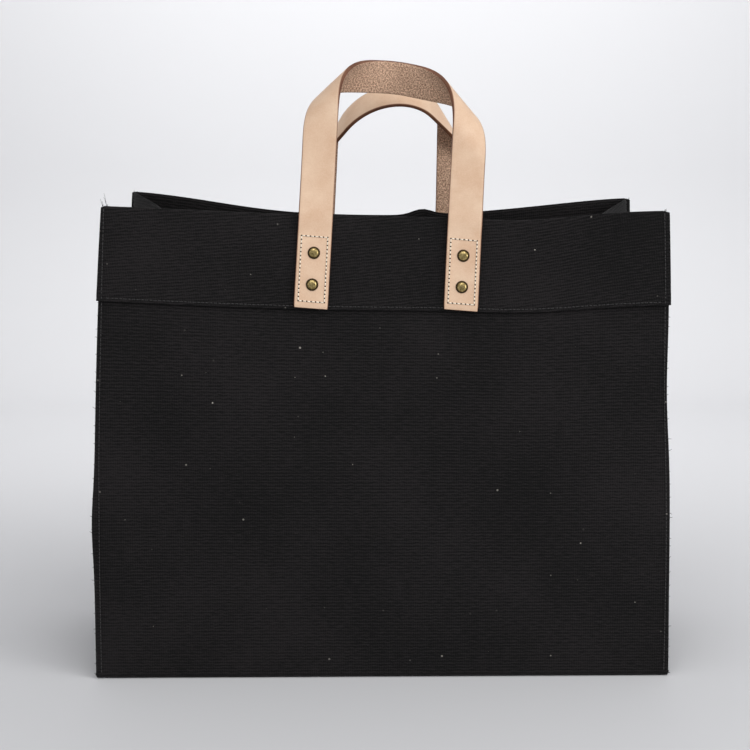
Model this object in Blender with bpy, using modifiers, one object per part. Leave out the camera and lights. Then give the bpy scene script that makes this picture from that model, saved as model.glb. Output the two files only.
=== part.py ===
"""Canvas tote bag with two leather strap handles.

The bag stands on its base. X runs across the front, Y from the front to the rear and Z up, in metres. The
origin is the middle of the base. The canvas walls are plain sheets that bow in at the mouth, where the
handles pull them together. Each handle is one strap: its two stitched ends are fixed to the bag's top band,
and its free loop swings about the line through the tops of the two ends.
"""

import math

import bmesh
import bpy
from mathutils import Matrix, Vector

# The canvas body
BASE_WIDTH = 0.425
MOUTH_WIDTH = 0.414
BASE_DEPTH = 0.175
MOUTH_DEPTH = 0.163
HEIGHT = 0.350
CANVAS = 0.0012
GAP = 0.0003
SEAM_FLANGE = 0.0042
BAND_HEIGHT = 0.071
BOW_START = 0.070
BOW_POWER = 1.6
BOW_ROUNDNESS = 1.3
FRONT_BOW = 0.024
REAR_BOW = 0.036
GUSSET_BOW = 0.030
FRONT_SAG = 0.007
REAR_SAG = 0.010
GUSSET_SAG = 0.008

# The strap handles
STRAP_WIDTH = 0.0254
STRAP_THICK = 0.0030
LEG_SPACING = 0.111
STRAP_END_ABOVE_BAND = 0.0006
STRAP_GAP = 0.0009
TAB_LENGTH = 0.0555
ROOT_BEND = 0.060
RIM_CLEARANCE = 0.0013
LOOP_GAP = 0.0016
PIVOT_STANDOFF = 0.0035
# For each handle: its shoulder fold's radius and how far the strap wraps round it, the straight leg below the
# fold, and the length over which the two legs' stances even out. The rear handle has slumped lower.
HANDLES = {
    "front": {"radius": 0.019, "wrap": math.radians(155.0), "rise": 0.078, "meet": 0.085},
    "rear": {"radius": 0.008, "wrap": math.radians(113.0), "rise": 0.056, "meet": 0.080},
}
# How each leg stands: its lean to the right as a slope, and how much taller it is than the leg above
LEG_STANCES = {
    ("front", "left"): (0.055, 0.0),
    ("front", "right"): (0.050, -0.011),
    ("rear", "left"): (0.055, -0.006),
    ("rear", "right"): (0.010, 0.009),
}
LEAN_FADES = (0.010, 0.050)

# Box stitch and rivets, measured up from the strap's end
BOX_WIDTH = 0.0194
BOX_HEIGHT = 0.0492
BOX_RISE = 0.0051
RIVET_RISES = (0.0179, 0.0419)
RIVET_CAP_R = 0.0046
RIVET_DOME = 0.0019
RIVET_RIM = 0.0006
RIVET_POST_R = 0.0014
RIVET_HOLE_R = 0.0018
RIVET_BACK_R = 0.0042
RIVET_BACK_THICK = 0.0010
RIVET_STEPS = 14
HOLE_STEPS = 12
HOLE_DEPTH = 0.020

# Thread
THREAD = 0.0005
FINE_THREAD = 0.0003
THREAD_WIDTH = 0.0008
TOPSTITCH_RISE = 0.0022
SEAM_STEP = 0.002
SEAM_FOOT = 0.001

# How finely the sheets are divided
PANEL_COLUMNS = 14
GUSSET_COLUMNS = 12
ROWS_BELOW_BAND = 6
ROWS_ON_BAND = 3
STRAP_COLUMNS = 5
TAB_ROWS = 4
LEG_ROWS = 5
FOLD_ROWS = 26
TOPSTITCH_COLUMNS = 16
SEAM_ROWS = 8
MIDDLE_STATIONS = (0.012, 0.004)

FRONT, REAR, LEFT, RIGHT = "front", "rear", "left", "right"
BOWS = {FRONT: FRONT_BOW, REAR: REAR_BOW, LEFT: GUSSET_BOW, RIGHT: GUSSET_BOW}
SAGS = {FRONT: FRONT_SAG, REAR: REAR_SAG, LEFT: GUSSET_SAG, RIGHT: GUSSET_SAG}
LAYER = CANVAS + GAP
BAND_BOTTOM = HEIGHT - BAND_HEIGHT
TAB_START = BAND_BOTTOM + STRAP_END_ABOVE_BAND
TAB_TOP = TAB_START + TAB_LENGTH


def clear_scene():
    for thing in list(bpy.data.objects):
        bpy.data.objects.remove(thing, do_unlink=True)


def make_collection(name):
    collection = bpy.data.collections.new(name)
    bpy.context.scene.collection.children.link(collection)
    return collection


def make_material(name, colour, roughness, metallic=0.0):
    material = bpy.data.materials.new(name)
    material.use_nodes = True
    shader = material.node_tree.nodes["Principled BSDF"]
    shader.inputs["Base Color"].default_value = (*colour, 1.0)
    shader.inputs["Roughness"].default_value = roughness
    shader.inputs["Metallic"].default_value = metallic
    return material


# ---- The shape of the canvas walls ----


def pull_in(height):
    """How far up the wall's inward bow has grown, from 0 low down to 1 at the rim."""
    along = max(0.0, (height - BOW_START) / (HEIGHT - BOW_START))
    return along**BOW_POWER


def across(u):
    """The bow's share at u, from -1 at one side seam through 0 in the middle to 1 at the other."""
    return max(0.0, math.cos(math.pi * min(abs(u), 1.0) / 2)) ** BOW_ROUNDNESS


def half_width(height):
    return (BASE_WIDTH + (MOUTH_WIDTH - BASE_WIDTH) * pull_in(height)) / 2


def half_depth(height):
    return (BASE_DEPTH + (MOUTH_DEPTH - BASE_DEPTH) * pull_in(height)) / 2


def wall_point(side, along, height):
    """A point on a panel's middle surface.

    along is metres from the panel's centre line, and height is measured up the cloth.
    """
    if side in (FRONT, REAR):
        inner = half_width(height) - SEAM_FLANGE
    else:
        inner = half_depth(height) - CANVAS
    share = across(along / inner) * pull_in(height)
    bow = BOWS[side] * share
    z = height - SAGS[side] * share
    if side == FRONT:
        return Vector((along, -half_depth(height) + CANVAS / 2 + bow, z))
    if side == REAR:
        return Vector((along, half_depth(height) - CANVAS / 2 - bow, z))
    x = half_width(height) - SEAM_FLANGE - bow
    return Vector((x if side == RIGHT else -x, along, z))


def wall_normal(side, along, height):
    """The outward normal of a wall, from two short steps across it."""
    step = 0.001
    sideways = wall_point(side, along + step, height) - wall_point(side, along - step, height)
    upward = wall_point(side, along, height + step) - wall_point(side, along, height - step)
    normal = sideways.cross(upward).normalized()
    outward = {FRONT: (0, -1, 0), REAR: (0, 1, 0), LEFT: (-1, 0, 0), RIGHT: (1, 0, 0)}[side]
    return normal if normal.dot(Vector(outward)) > 0 else -normal


def off_wall(side, along, height, distance):
    """A point that stands off the wall's middle surface, outward when distance is positive."""
    return wall_point(side, along, height) + wall_normal(side, along, height) * distance


# ---- Turning grids of points into solids ----


def spread(start, end, count):
    return [start + (end - start) * i / count for i in range(count + 1)]


def grid_surface(rows, closed=False):
    """An open mesh surface through rows of points."""
    mesh = bmesh.new()
    verts = [[mesh.verts.new(point) for point in row] for row in rows]
    for lower, upper in zip(verts, verts[1:]):
        columns = len(lower) if closed else len(lower) - 1
        for i in range(columns):
            j = (i + 1) % len(lower)
            mesh.faces.new((lower[i], lower[j], upper[j], upper[i]))
    bmesh.ops.recalc_face_normals(mesh, faces=mesh.faces)
    return mesh


def solid_sheet(name, rows, thickness, material, collection):
    """A sheet of even thickness centred on a surface."""
    mesh = grid_surface(rows)
    data = bpy.data.meshes.new(name)
    mesh.to_mesh(data)
    mesh.free()
    data.shade_smooth()
    data.set_sharp_from_angle(angle=math.radians(35))
    thing = bpy.data.objects.new(name, data)
    collection.objects.link(thing)
    data.materials.append(material)
    shell = thing.modifiers.new("Thickness", "SOLIDIFY")
    shell.thickness = thickness
    shell.offset = 0.0
    shell.use_even_offset = True
    return thing


# ---- Canvas pieces ----


BAND_ROWS = spread(BAND_BOTTOM, HEIGHT, ROWS_ON_BAND)
WALL_ROWS = [*spread(0.0, BAND_BOTTOM, ROWS_BELOW_BAND)[:-1], *BAND_ROWS]


def panel_rows(side, heights, distance):
    """Points of a front or rear sheet, out to the ends of the seam flanges."""
    grid = []
    for height in heights:
        edge = half_width(height)
        inner = edge - SEAM_FLANGE
        stations = [-edge, *spread(-inner, inner, PANEL_COLUMNS), edge]
        grid.append([off_wall(side, along, height, distance) for along in stations])
    return grid


def gusset_rows(side, heights, layer):
    """Points of a gusset sheet, whose two edges turn out along the seam flanges."""
    sign = 1 if side == RIGHT else -1
    grid = []
    for height in heights:
        reach = half_depth(height) - CANVAS / 2 - LAYER
        stations = spread(-reach, reach, GUSSET_COLUMNS)
        face = [off_wall(side, along, height, LAYER * layer) for along in stations]
        edge = reach - LAYER * layer
        corner_x = half_width(height) - SEAM_FLANGE + LAYER * layer
        tip_x = half_width(height)
        front = [Vector((sign * x, -edge, height)) for x in (tip_x, corner_x)]
        rear = [Vector((sign * x, edge, height)) for x in (corner_x, tip_x)]
        grid.append([*front, *face[1:-1], *rear])
    return grid


def make_walls(canvas, collection):
    walls = {}
    for side in (FRONT, REAR):
        rows = panel_rows(side, WALL_ROWS, 0.0)
        walls[side] = solid_sheet(f"{side}_panel", rows, CANVAS, canvas, collection)
    for side in (LEFT, RIGHT):
        rows = gusset_rows(side, WALL_ROWS, 0)
        walls[side] = solid_sheet(f"{side}_gusset", rows, CANVAS, canvas, collection)
    return walls


def make_bands(canvas, collection):
    """The turned-out hem round the mouth, one length on each wall."""
    bands = {}
    for side in (FRONT, REAR):
        rows = panel_rows(side, BAND_ROWS, LAYER)
        bands[side] = solid_sheet(f"{side}_band", rows, CANVAS, canvas, collection)
    for side in (LEFT, RIGHT):
        rows = gusset_rows(side, BAND_ROWS, 1)
        bands[side] = solid_sheet(f"{side}_band", rows, CANVAS, canvas, collection)
    return bands


def make_base(canvas, collection):
    """The flat base, inside the feet of the four walls."""
    half_x = BASE_WIDTH / 2 - SEAM_FLANGE - CANVAS / 2 - GAP
    half_y = BASE_DEPTH / 2 - CANVAS - LAYER
    mesh = bmesh.new()
    bmesh.ops.create_cube(mesh, size=1.0)
    bmesh.ops.scale(mesh, vec=(2 * half_x, 2 * half_y, CANVAS), verts=mesh.verts)
    data = bpy.data.meshes.new("base_panel")
    mesh.to_mesh(data)
    mesh.free()
    base = bpy.data.objects.new("base_panel", data)
    base.location.z = CANVAS / 2
    data.materials.append(canvas)
    collection.objects.link(base)
    return base


# ---- Strap handles ----

# A strap can't bend edgewise, so at each shoulder it rolls over a slanted axis and comes out nearly level.
BEHIND = Vector((0, 1, 0))


def fold_of(side):
    """A handle's shoulder fold. Its slope leaves the strap's width square to the handle's middle plane."""
    radius, wrap = HANDLES[side]["radius"], HANDLES[side]["wrap"]
    slope = math.atan(math.sqrt(-1 / math.cos(wrap)))
    axis = Vector((math.cos(slope), 0, math.sin(slope)))
    over = Vector((-math.sin(slope), 0, math.cos(slope)))
    after = over * math.cos(wrap) + BEHIND * math.sin(wrap)
    onward = axis * math.sin(slope) + after * math.cos(slope)
    widthways = axis * math.cos(slope) - after * math.sin(slope)
    rolled_length = radius * wrap
    fold = {"radius": radius, "wrap": wrap, "slope": slope, "axis": axis, "over": over, "after": after}
    fold["onward"] = onward
    fold["to_front"] = onward.cross(widthways)
    fold["rolled_length"] = rolled_length
    fold["end"] = (rolled_length + STRAP_WIDTH / 2 * math.sin(slope)) / math.cos(slope)
    turn = math.acos(onward.x)
    fold["arch"] = (LEG_SPACING / 2 - rolled_strap(fold, fold["end"], 0.0).x) / math.sin(turn)
    fold["half"] = fold["end"] + fold["arch"] * turn
    return fold


def rolled_strap(fold, s, t):
    """A leg and its shoulder fold, from the point where the strap's centre line starts to roll.

    s runs up the strap and t across it, from the outer edge (-) to the inner edge (+). The result is x
    towards the middle of the handle, y behind the leg and z up.
    """
    along = s * math.sin(fold["slope"]) + t * math.cos(fold["slope"])
    rolled = s * math.cos(fold["slope"]) - t * math.sin(fold["slope"])
    if rolled <= 0:
        return fold["axis"] * along + fold["over"] * rolled
    turn = min(rolled / fold["radius"], fold["wrap"])
    rest = max(0.0, rolled - fold["rolled_length"])
    return (
        fold["axis"] * along
        + fold["over"] * (fold["radius"] * math.sin(turn))
        + BEHIND * (fold["radius"] * (1 - math.cos(turn)))
        + fold["after"] * rest
    )


def smooth(value, start, end):
    """A soft step from 0 at start to 1 at end."""
    share = min(1.0, max(0.0, (value - start) / (end - start)))
    return share * share * (3 - 2 * share)


def leg_centre(end):
    return (-1 if end == LEFT else 1) * LEG_SPACING / 2


def tab_surface(side, along, height):
    """The middle of a stitched strap end's thickness."""
    return off_wall(side, along, height, CANVAS / 2 + LAYER + STRAP_GAP + STRAP_THICK / 2)


def hinge_point(side):
    """The middle of the strap at the top of its stitched right end."""
    return tab_surface(side, LEG_SPACING / 2, TAB_TOP)


def swing_pivot(side):
    """The middle of a handle's swing axis, just outside the strap where its stitched ends stop."""
    root = hinge_point(side)
    outward = -PIVOT_STANDOFF if side == FRONT else PIVOT_STANDOFF
    return Vector((0, root.y + outward, root.z + LOOP_GAP / 2))


def leaned(side, end, t, rise, hold=1.0):
    """Where a strap point lies on the wall, as (along, height). t is across the strap from its centre line,
    rise is above the top of the stitched end, and hold is how much of the lean tips its width."""
    lean = LEG_STANCES[side, end][0]
    height = TAB_TOP + rise - lean * t * hold
    return leg_centre(end) + t + lean * (height - TAB_START), height


def stood(side, end, x, behind, rise):
    """A strap point in place: x across, behind the leg's own face, and rise above the stitched end."""
    rise += LEG_STANCES[side, end][1] * smooth(rise, 0.0, HANDLES[side]["rise"])
    t = x - leg_centre(end)
    along, height = leaned(side, end, t, rise, 1 - smooth(rise, *LEAN_FADES))
    held = min(height, HEIGHT)
    free = height - held
    loose = smooth(free, 0.0, ROOT_BEND)
    foot = tab_surface(side, along, held)
    middle = tab_surface(side, along - t, held)
    freed = min(ROOT_BEND, free)
    back = rim_slope(side, along - t) * (freed - freed * freed / (2 * ROOT_BEND)) + behind
    # Stiff leather starts to straighten where the stitching stops, so at the rim it stands clear of the band.
    back -= RIM_CLEARANCE * smooth(rise, 0.0, HEIGHT - TAB_TOP)
    y = foot.y + (middle.y - foot.y) * loose + (back if side == FRONT else -back)
    z = foot.z + (middle.z - foot.z) * loose + free
    return Vector((along, y, z))


def rim_slope(side, along):
    """How far the wall leans towards the mouth at its rim, as a slope."""
    low = wall_point(side, along, HEIGHT - 0.01)
    high = wall_point(side, along, HEIGHT)
    return abs((high.y - low.y) / (high.z - low.z))


def loop_point(side, fold, s, t):
    """A point of a handle's free loop. s runs from the handle's middle, negative to the left."""
    from_fold = fold["half"] - abs(s)
    local = rolled_strap(fold, min(from_fold, fold["end"]), t)
    if from_fold > fold["end"]:
        turned = (from_fold - fold["end"]) / fold["arch"]
        local += fold["onward"] * (fold["arch"] * math.sin(turned))
        local += fold["to_front"] * (fold["arch"] * (1 - math.cos(turned)))
    x = local.x - LEG_SPACING / 2
    if s > 0:
        x = -x
    meet, leg = HANDLES[side]["meet"], HANDLES[side]["rise"]
    share = smooth(s, -meet, meet)
    point = Vector((0, 0, 0))
    for end, weight in ((LEFT, 1 - share), (RIGHT, share)):
        if weight > 0:
            point += stood(side, end, x, local.y, leg + local.z) * weight
    return point


def loop_stations(side, fold):
    """Stations along half a loop, close together over the fold."""
    leg_end = -(fold["half"] + HANDLES[side]["rise"]) + LOOP_GAP
    fold_start = -(fold["half"] + STRAP_WIDTH * 0.75)
    beside_middle, nearest_middle = MIDDLE_STATIONS
    leg = spread(leg_end, fold_start, LEG_ROWS)[:-1]
    return [*leg, *spread(fold_start, -beside_middle, FOLD_ROWS), -nearest_middle]


def make_loop(side, leather, collection):
    """The free part of a handle, from the top of one stitched end over to the other."""
    fold = fold_of(side)
    left = loop_stations(side, fold)
    pivot = swing_pivot(side)
    across_strap = spread(-STRAP_WIDTH / 2, STRAP_WIDTH / 2, STRAP_COLUMNS)
    rows = []
    for s in [*left, *[-s for s in reversed(left)]]:
        rows.append([loop_point(side, fold, s, t) - pivot for t in across_strap])
    loop = solid_sheet(f"{side}_handle_loop", rows, STRAP_THICK, leather, collection)
    loop.location = pivot
    return loop


def make_tab(side, end, leather, collection):
    """A stitched strap end, flat on the band."""
    across_strap = spread(-STRAP_WIDTH / 2, STRAP_WIDTH / 2, STRAP_COLUMNS)
    rows = []
    for rise in spread(-TAB_LENGTH, 0.0, TAB_ROWS):
        rows.append([tab_surface(side, *leaned(side, end, t, rise)) for t in across_strap])
    return solid_sheet(f"{side}_{end}_strap_end", rows, STRAP_THICK, leather, collection)


# ---- Rivets and thread ----


def turned_piece(name, profile, place, material, collection):
    """A solid of revolution about its own Z, put at a place."""
    mesh = bmesh.new()
    verts = [mesh.verts.new((radius, 0, height)) for radius, height in profile]
    for first, second in zip(verts, verts[1:]):
        mesh.edges.new((first, second))
    data = bpy.data.meshes.new(name)
    mesh.to_mesh(data)
    mesh.free()
    data.materials.append(material)
    thing = bpy.data.objects.new(name, data)
    thing.matrix_world = place
    collection.objects.link(thing)
    screw = thing.modifiers.new("Turn", "SCREW")
    screw.steps = RIVET_STEPS
    screw.render_steps = RIVET_STEPS
    screw.use_merge_vertices = True
    screw.merge_threshold = 0.00001
    screw.use_smooth_shade = True
    return thing


def rivet_place(side, end, number, distance):
    """Stands a rivet's own Z on the wall's outward normal."""
    along, height = leaned(side, end, 0.0, RIVET_RISES[number] - TAB_LENGTH)
    normal = wall_normal(side, along, height)
    turn = normal.to_track_quat("Z", "Y").to_matrix().to_4x4()
    return Matrix.Translation(off_wall(side, along, height, distance)) @ turn


def cap_profile(depth):
    """A low dome with a rolled rim, on a post that reaches down by depth."""
    dome = []
    for i in range(4):
        angle = math.radians(90 - 30 * i)
        dome.append((RIVET_CAP_R * math.cos(angle), RIVET_RIM + RIVET_DOME * math.sin(angle)))
    dome[0] = (0.0, RIVET_RIM + RIVET_DOME)
    rim = [(RIVET_CAP_R, 0.0), (RIVET_POST_R, 0.0), (RIVET_POST_R, -depth), (0.0, -depth)]
    return dome + rim


def back_profile():
    """A flanged disc with a slightly domed inner face; its own Z points into the cloth."""
    return [
        (0.0, 0.0),
        (RIVET_BACK_R, 0.0),
        (RIVET_BACK_R, -RIVET_BACK_THICK / 2),
        (RIVET_BACK_R * 0.6, -RIVET_BACK_THICK),
        (0.0, -RIVET_BACK_THICK * 1.1),
    ]


def make_rivet(side, end, number, brass, collection):
    name = f"{side}_{end}_rivet_{'lower' if number == 0 else 'upper'}"
    outer_face = CANVAS / 2 + LAYER + STRAP_GAP + STRAP_THICK
    inner_face = -CANVAS / 2
    depth = outer_face + GAP - inner_face
    cap_place = rivet_place(side, end, number, outer_face + GAP)
    back_place = rivet_place(side, end, number, inner_face - GAP)
    turned_piece(f"{name}_cap", cap_profile(depth - GAP / 2), cap_place, brass, collection)
    turned_piece(f"{name}_back", back_profile(), back_place, brass, collection)


def make_rivet_hole(side, end, number, cutters):
    """A cutter for the hole through the strap end, the band and the panel."""
    mesh = bmesh.new()
    bmesh.ops.create_cone(
        mesh,
        cap_ends=True,
        segments=HOLE_STEPS,
        radius1=RIVET_HOLE_R,
        radius2=RIVET_HOLE_R,
        depth=HOLE_DEPTH,
    )
    data = bpy.data.meshes.new("rivet_hole")
    mesh.to_mesh(data)
    mesh.free()
    cutter = bpy.data.objects.new(f"cut_{side}_{end}_{number}", data)
    cutter.matrix_world = rivet_place(side, end, number, CANVAS)
    cutter.hide_render = True
    cutter.display_type = "WIRE"
    cutters.objects.link(cutter)
    return cutter


def cut(thing, cutter):
    hole = thing.modifiers.new("Rivet hole", "BOOLEAN")
    hole.operation = "DIFFERENCE"
    hole.solver = "EXACT"
    hole.object = cutter


def make_box_stitch(side, end, thread, collection):
    """The thread round a strap end: a thin closed frame lying on the leather."""
    stand_off = CANVAS / 2 + LAYER + STRAP_GAP + STRAP_THICK + GAP + THREAD / 2
    low, high = BOX_RISE - TAB_LENGTH, BOX_RISE + BOX_HEIGHT - TAB_LENGTH
    corners = [(-1, low), (1, low), (1, high), (-1, high)]
    rows = []
    for inset in (0.0, THREAD_WIDTH):
        row = []
        for sign, rise in corners:
            t = sign * (BOX_WIDTH / 2 - inset)
            inner_rise = rise + (inset if rise == low else -inset)
            row.append(off_wall(side, *leaned(side, end, t, inner_rise), stand_off))
        rows.append(row)
    mesh = grid_surface(rows, closed=True)
    name = f"{side}_{end}_box_stitch"
    data = bpy.data.meshes.new(name)
    mesh.to_mesh(data)
    mesh.free()
    data.materials.append(thread)
    thing = bpy.data.objects.new(name, data)
    collection.objects.link(thing)
    shell = thing.modifiers.new("Thickness", "SOLIDIFY")
    shell.thickness = THREAD
    shell.offset = 0.0
    return thing


def make_topstitch(side, thread, collection):
    """The row of stitches that holds the band's lower edge."""
    stand_off = CANVAS / 2 + LAYER + GAP + FINE_THREAD / 2
    height = BAND_BOTTOM + TOPSTITCH_RISE
    if side in (FRONT, REAR):
        reach = half_width(height) - 2 * SEAM_FLANGE
    else:
        reach = half_depth(height) - 2 * SEAM_FLANGE
    rows = []
    for rise in (height - THREAD_WIDTH / 2, height + THREAD_WIDTH / 2):
        stations = spread(-reach, reach, TOPSTITCH_COLUMNS)
        rows.append([off_wall(side, along, rise, stand_off) for along in stations])
    return solid_sheet(f"{side}_topstitch", rows, FINE_THREAD, thread, collection)


def make_corner_seam(side, end, thread, collection):
    """The seam thread up a corner, stepping out where the band begins."""
    sign = -1 if end == LEFT else 1
    below_band = BAND_BOTTOM - 2 * SEAM_STEP
    rows = []
    for height in [*spread(SEAM_FOOT, below_band, SEAM_ROWS), BAND_BOTTOM - SEAM_STEP, *BAND_ROWS]:
        under_band = LAYER if height > below_band + SEAM_STEP / 2 else 0.0
        stand_off = CANVAS / 2 + under_band + GAP + THREAD / 2
        middle = half_width(height) - SEAM_FLANGE / 2
        edges = (middle - THREAD_WIDTH / 2, middle + THREAD_WIDTH / 2)
        rows.append([off_wall(side, sign * along, height, stand_off) for along in edges])
    return solid_sheet(f"{side}_{end}_corner_seam", rows, THREAD, thread, collection)


def main():
    clear_scene()
    tote = make_collection("canvas_tote_bag")
    cutters = make_collection("cutters")
    canvas = make_material("black canvas", (0.012, 0.011, 0.012), 0.95)
    leather = make_material("natural leather", (0.75, 0.50, 0.32), 0.55)
    brass = make_material("antique brass", (0.35, 0.27, 0.14), 0.35, 1.0)
    black_thread = make_material("black thread", (0.01, 0.01, 0.01), 0.8)
    cream_thread = make_material("cream thread", (0.82, 0.76, 0.66), 0.8)

    walls = make_walls(canvas, tote)
    bands = make_bands(canvas, tote)
    make_base(canvas, tote)
    for side in (FRONT, REAR):
        make_loop(side, leather, tote)
        for end in (LEFT, RIGHT):
            tab = make_tab(side, end, leather, tote)
            for number in range(len(RIVET_RISES)):
                cutter = make_rivet_hole(side, end, number, cutters)
                for layer in (tab, bands[side], walls[side]):
                    cut(layer, cutter)
                make_rivet(side, end, number, brass, tote)
            make_box_stitch(side, end, cream_thread, tote)
            make_corner_seam(side, end, black_thread, tote)
    for side in (FRONT, REAR, LEFT, RIGHT):
        make_topstitch(side, black_thread, tote)


main()
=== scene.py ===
"""Canvas tote bag with leather handles: the finished looks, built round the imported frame.

Metres, +Z up. The front faces -Y, and the origin is the middle of the base. The sections follow the bag as
it is made up: panels, gussets, base, mouth bands, seams, handles, box stitching, rivets and loose yarns, and
then the camera and the studio round it.
"""

import math
import random

import bmesh
import bpy
from mathutils import Matrix, Vector


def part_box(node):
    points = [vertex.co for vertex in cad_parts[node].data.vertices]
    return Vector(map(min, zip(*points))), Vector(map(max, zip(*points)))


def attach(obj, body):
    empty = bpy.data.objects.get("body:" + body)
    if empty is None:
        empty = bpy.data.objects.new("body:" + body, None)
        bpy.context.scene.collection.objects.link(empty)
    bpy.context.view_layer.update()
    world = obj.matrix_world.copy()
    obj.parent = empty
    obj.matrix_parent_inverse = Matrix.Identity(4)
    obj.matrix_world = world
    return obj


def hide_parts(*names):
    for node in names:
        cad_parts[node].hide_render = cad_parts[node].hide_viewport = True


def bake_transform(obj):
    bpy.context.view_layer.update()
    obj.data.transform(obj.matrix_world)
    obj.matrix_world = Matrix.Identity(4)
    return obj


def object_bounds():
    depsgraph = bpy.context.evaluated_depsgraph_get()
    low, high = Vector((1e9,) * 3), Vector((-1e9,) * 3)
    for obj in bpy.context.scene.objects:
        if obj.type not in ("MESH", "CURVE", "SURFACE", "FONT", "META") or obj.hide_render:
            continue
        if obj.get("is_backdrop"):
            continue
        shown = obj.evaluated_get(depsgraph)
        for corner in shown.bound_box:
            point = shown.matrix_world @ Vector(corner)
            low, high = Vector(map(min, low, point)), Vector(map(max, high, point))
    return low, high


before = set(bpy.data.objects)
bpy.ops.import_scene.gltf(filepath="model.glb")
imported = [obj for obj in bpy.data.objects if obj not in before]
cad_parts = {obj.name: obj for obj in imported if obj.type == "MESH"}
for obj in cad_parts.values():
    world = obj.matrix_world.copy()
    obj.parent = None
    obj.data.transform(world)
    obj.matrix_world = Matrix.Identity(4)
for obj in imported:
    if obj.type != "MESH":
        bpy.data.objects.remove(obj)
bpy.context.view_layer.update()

FRONT, REAR, LEFT, RIGHT = "front", "rear", "left", "right"


# ---- Front and rear panels ----
# Two panels of heavy black cotton duck, 1.2 mm thick, seamed to the side gussets with the seam allowance
# left outside as a narrow flange. The cloth stands by its own stiffness, hangs slack in broad shallow waves,
# and is pulled inward at the mouth by the weight of the handles.

CLOTH = 0.0012
LAYER = 0.0015
FOOT_ROUND = 0.0035
panel_low, panel_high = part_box("front_panel")
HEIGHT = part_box("left_gusset")[1].z
BASE_WIDTH = panel_high.x - panel_low.x
BASE_DEPTH = 0.175
MOUTH_NARROWER = 0.011
MOUTH_SHALLOWER = 0.012
MOUTH_WIDTH = BASE_WIDTH - MOUTH_NARROWER
MOUTH_DEPTH = BASE_DEPTH - MOUTH_SHALLOWER
BAND_HEIGHT = 0.071
BAND_BOTTOM = HEIGHT - BAND_HEIGHT
BOW_START = 0.070
BOW_GROWTH = 1.6
BOW_SPREAD = 1.3
BOWS = {FRONT: 0.024, REAR: 0.034, LEFT: 0.032, RIGHT: 0.032}
SAGS = {FRONT: 0.0065, REAR: 0.015, LEFT: 0.010, RIGHT: 0.010}
RIM_TILTS = {FRONT: 0.0085, REAR: 0.0140}
REAR_RIM_RISE = 0.0045
HEM_RISES = {LEFT: 0.0038, RIGHT: 0.0022}
SLACK = 0.0013
LEFT_SEAM_INSET = 0.0006
RIGHT_SEAM_INSET = 0.0044
FLANGE_FAN = 0.0052


def spread(start, end, count):
    """Even stations from start to end."""
    return [start + (end - start) * i / count for i in range(count + 1)]


def smooth(value, start=0.0, end=1.0):
    """A soft step from 0 at start to 1 at end."""
    share = min(1.0, max(0.0, (value - start) / (end - start)))
    return share * share * (3 - 2 * share)


def hump(value, centre, width):
    """A soft bump of height 1 round a centre."""
    return math.exp(-(((value - centre) / width) ** 2))


def pull_in(height):
    """How far the mouth's inward pull has grown, from 0 low on the wall to 1 at the rim."""
    return max(0.0, (height - BOW_START) / (HEIGHT - BOW_START)) ** BOW_GROWTH


def across(u):
    """The share of the pull between one side seam, at -1, and the other, at 1."""
    return max(0.0, math.cos(math.pi * min(abs(u), 1.0) / 2)) ** BOW_SPREAD


def half_width(height):
    """Half the bag's outside width, which narrows towards the mouth."""
    return (BASE_WIDTH + (MOUTH_WIDTH - BASE_WIDTH) * pull_in(height)) / 2


def half_depth(height):
    """Half the bag's outside depth, measured at the side seams."""
    return (BASE_DEPTH + (MOUTH_DEPTH - BASE_DEPTH) * pull_in(height)) / 2


def seam_x(sign, height):
    """Where the side seam's stitches run. The left seam stands further out low down than the right one."""
    if sign < 0:
        return half_width(height) - LEFT_SEAM_INSET - 0.0020 * smooth(height, 0.15, HEIGHT)
    return half_width(height) - RIGHT_SEAM_INSET - 0.0014 * hump(height, 0.215, 0.060)


def tip_x(sign, height):
    """The outer edge of the seam flange, which fans out and folds back along the seam."""
    if sign < 0:
        fan = FLANGE_FAN * (1 - (height / HEIGHT) ** 2.5) - 0.0009
        return half_width(height) + fan + 0.0018 * hump(height, 0.118, 0.030)
    fan = -0.0008 - 0.0022 * hump(height, 0.215, 0.045) + 0.0008 * hump(height, 0.0, 0.05)
    return half_width(height) + fan


def slack(side, u, height):
    """Broad shallow waves in the cloth, which die away at the seams, the base and the stitched band."""
    phase = {FRONT: 0.4, REAR: 2.1, LEFT: 4.0, RIGHT: 5.3}[side]
    broad = math.sin(3.4 * u + 9.0 * height + phase) * math.sin(14.0 * height + 1.9 * u + 2 * phase)
    finer = 0.45 * math.sin(8.7 * u - 24.0 * height + 3 * phase) * math.sin(33.0 * height + 2.4 * u + phase)
    held = (1 - min(1.0, abs(u)) ** 4) * smooth(height, 0.0, 0.05) * (1 - 0.65 * smooth(height, 0.22, 0.29))
    return SLACK * (broad + finer) * held


def droop(side, u):
    """The rim's own fall between its corners: deepest right of the middle in front."""
    if side == FRONT:
        return 0.0042 * hump(u, 0.52, 0.26) * (1 - abs(u) ** 6)
    if side == REAR:
        return 0.0020 * hump(u, -0.45, 0.3) - 0.0045 * hump(u, 0.16, 0.055)
    return 0.0


def hem_rise(end, height):
    """How far the front band's hem, sewn on in a shallow curve, rides up at a corner."""
    return HEM_RISES[end] * hump(height, BAND_BOTTOM, 0.050)


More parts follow.
